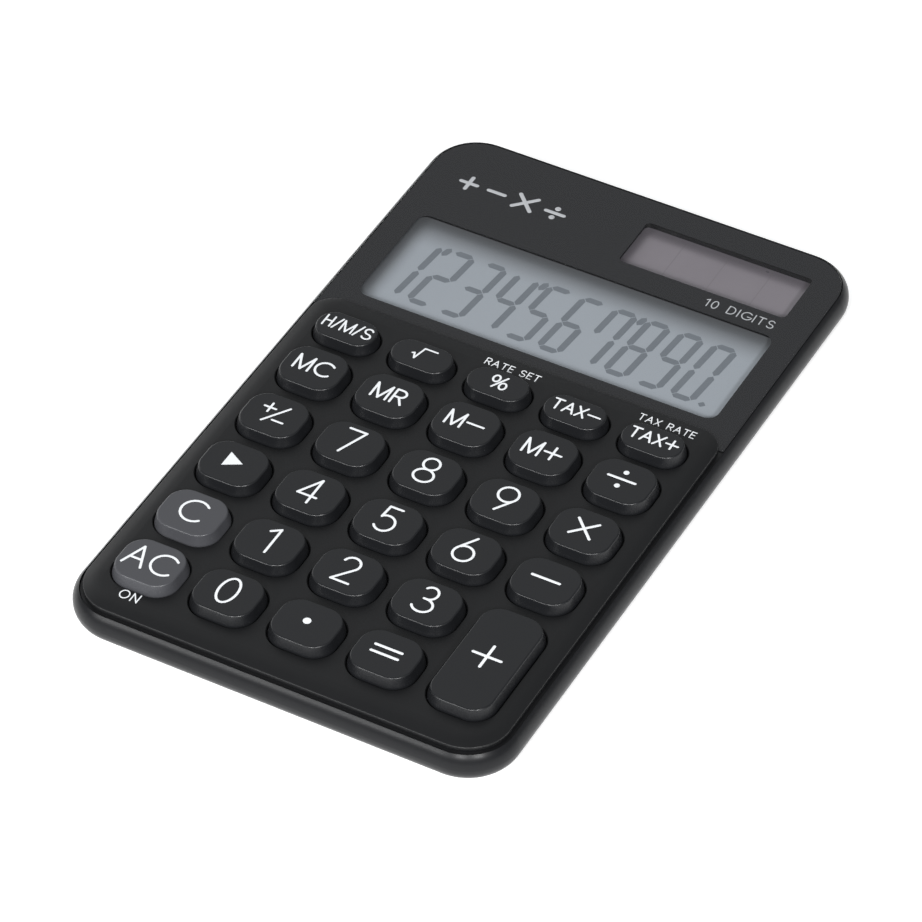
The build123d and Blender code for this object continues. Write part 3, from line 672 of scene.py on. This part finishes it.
# ---------------------------------------------------------------- keys
# Hard moulded caps, each with its own legend pad-printed in white. All are graphite but the two
# clearing keys, which are mid grey.
LEGEND_SHIFT = Vector((-0.16 * MM, 0.38 * MM, 0))
SHORT_ROW_SHIFT = Vector((0.12 * MM, 0.38 * MM, 0))
LEGENDS = {
    "key_hms": ("H/M/S", 2.5, 0.3, 0.2), "key_root": (["root"], 2.8, 0.3, 0),
    "key_percent": ("%", 2.9, 0.32, 0), "key_tax_minus": ("TAX-", 2.4, 0.32, 0.22),
    "key_tax_plus": ("TAX+", 2.4, 0.32, 0.22),
    "key_mc": ("MC", 3.3, 0.38, 0.26), "key_mr": ("MR", 3.3, 0.38, 0.26),
    "key_m_minus": ("M-", 3.3, 0.38, 0.24), "key_m_plus": ("M+", 3.3, 0.38, 0.24),
    "key_divide": (["divide"], 4.7, 0.44, 0),
    "key_sign": (["sign"], 4.6, 0.36, 0), "key_7": ("7", 5.4, 0.4, 0), "key_8": ("8", 5.5, 0.4, 0),
    "key_9": ("9", 5.5, 0.4, 0), "key_multiply": (["times"], 3.7, 0.44, 0),
    "key_4": ("4", 5.4, 0.4, 0), "key_5": ("5", 5.4, 0.4, 0),
    "key_6": ("6", 5.5, 0.4, 0), "key_minus": ("-", 5.2, 0.46, 0),
    "key_c": ("C", 4.6, 0.4, 0), "key_1": ("1", 5.4, 0.4, 0), "key_2": ("2", 5.4, 0.4, 0),
    "key_3": ("3", 5.5, 0.4, 0), "key_plus": ("+", 5.3, 0.46, 0),
    "key_ac": ("AC", 4.4, 0.4, 0.2), "key_0": ("0", 5.4, 0.4, 0),
    "key_equals": (["equals"], 4.6, 0.46, 0),
}
SOLID_LEGENDS = {
    "key_backspace": [(-1.25 * MM, -1.5 * MM), (1.45 * MM, 0), (-1.25 * MM, 1.5 * MM)],
    "key_point": arc(0, 0, 0.6 * MM, 0.6 * MM, 0, 345),
}
SHORT_ROW = ("key_hms", "key_root", "key_percent", "key_tax_minus", "key_tax_plus")
GREY_KEYS = ("key_c", "key_ac")
dark_cap = moulded("key_graphite", (0.0085, 0.009, 0.0103), 1.15, 0.31, 0.14 * MM, 0.0025 * MM, 0.42)
grey_cap = moulded("key_grey", (0.055, 0.056, 0.062), 1.06, 0.32, 0.14 * MM, 0.0025 * MM, 0.42)
for key, (signs, height, stroke, gap) in LEGENDS.items():
    dress(grey_cap if key in GREY_KEYS else dark_cap, key)
    low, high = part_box(key)
    middle = (low + high) / 2 + (SHORT_ROW_SHIFT if key in SHORT_ROW else LEGEND_SHIFT)
    legend(key + "_legend", signs, middle, height * MM, stroke * MM, high.z, key, gap)
for key, outline in SOLID_LEGENDS.items():
    dress(dark_cap, key)
    low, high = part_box(key)
    middle = (low + high) / 2 + LEGEND_SHIFT
    spots = [(middle.x + x, middle.y + y) for x, y in outline]
    mark = sheet_with_openings(key + "_legend", [spots], high.z, PRINT_LIFT)
    link(key + "_legend", mark, WHITE_INK, key)


# ---------------------------------------------------------------- studio
# A pale sweep that glows a little, soft lights all round, two of them small enough to put a highlight
# on the near corner, and a long lens from the near right.
def floor_paint(wire):
    """Matt white, with a glow of its own that softens the shadows."""
    cloud = wire.noise(0.2, 3.0)
    pale = cloud.blend((0.87, 0.87, 0.87), (0.89, 0.89, 0.89))
    return {"Base Color": pale, "Roughness": 0.8, "Emission Color": pale, "Emission Strength": 0.5}


floor_mesh = bpy.data.meshes.new("floor")
shape = bmesh.new()
bmesh.ops.create_grid(shape, x_segments=2, y_segments=2, size=2.5)
shape.to_mesh(floor_mesh)
shape.free()
floor_mesh.materials.append(finish("floor_paint", floor_paint))
floor = bpy.data.objects.new("floor", floor_mesh)
bpy.context.scene.collection.objects.link(floor)

world = bpy.data.worlds.new("studio")
world.use_nodes = True
sky = world.node_tree.nodes["Background"]
sky.inputs["Color"].default_value = (0.94, 0.975, 1.0, 1.0)
sky.inputs["Strength"].default_value = 0.27
bpy.context.scene.world = world
bpy.context.scene.view_settings.view_transform = "Standard"


def softbox(name, spot, wide, tall, power):
    """An area light at a spot, aimed at the calculator."""
    lamp = bpy.data.lights.new(name, "AREA")
    lamp.shape = "RECTANGLE"
    lamp.size, lamp.size_y = wide, tall
    lamp.energy = power
    holder = bpy.data.objects.new(name, lamp)
    holder.location = spot
    holder.rotation_euler = (-Vector(spot)).to_track_quat("-Z", "Y").to_euler()
    bpy.context.scene.collection.objects.link(holder)


LIGHTS = (
    ("right_light", (0.65, -0.57, 0.66), 0.16, 0.16, 7.0),
    ("near_light", (0.21, -0.84, 0.64), 0.16, 0.16, 6.0),
    ("edge_light", (-0.4, -0.78, 0.5), 0.5, 0.16, 4.6),
    ("side_light", (-0.9, 0.45, 0.46), 0.6, 0.5, 1.6),
    ("far_light", (-0.42, 0.77, 0.82), 0.9, 0.9, 0.7),
)
for name, spot, wide, tall, power in LIGHTS:
    softbox(name, spot, wide, tall, power)

AZIMUTH = math.radians(28.64)
ELEVATION = math.radians(43.2)
ROLL = math.radians(0.136)
DISTANCE = 0.76255
AIM = Vector((0.935, -5.18, 4.1)) * MM
camera_data = bpy.data.cameras.new("camera")
camera_data.sensor_width = 36.0
camera_data.lens = 207.3
camera_data.clip_start = 0.05
camera = bpy.data.objects.new("camera", camera_data)
back = Vector((
    math.sin(AZIMUTH) * math.cos(ELEVATION), -math.cos(AZIMUTH) * math.cos(ELEVATION), math.sin(ELEVATION)
))
camera.location = AIM + back * DISTANCE
turn = back.to_track_quat("Z", "Y").to_matrix() @ Matrix.Rotation(-ROLL, 3, "Z")
camera.rotation_euler = turn.to_euler()
bpy.context.scene.collection.objects.link(camera)
bpy.context.scene.camera = camera
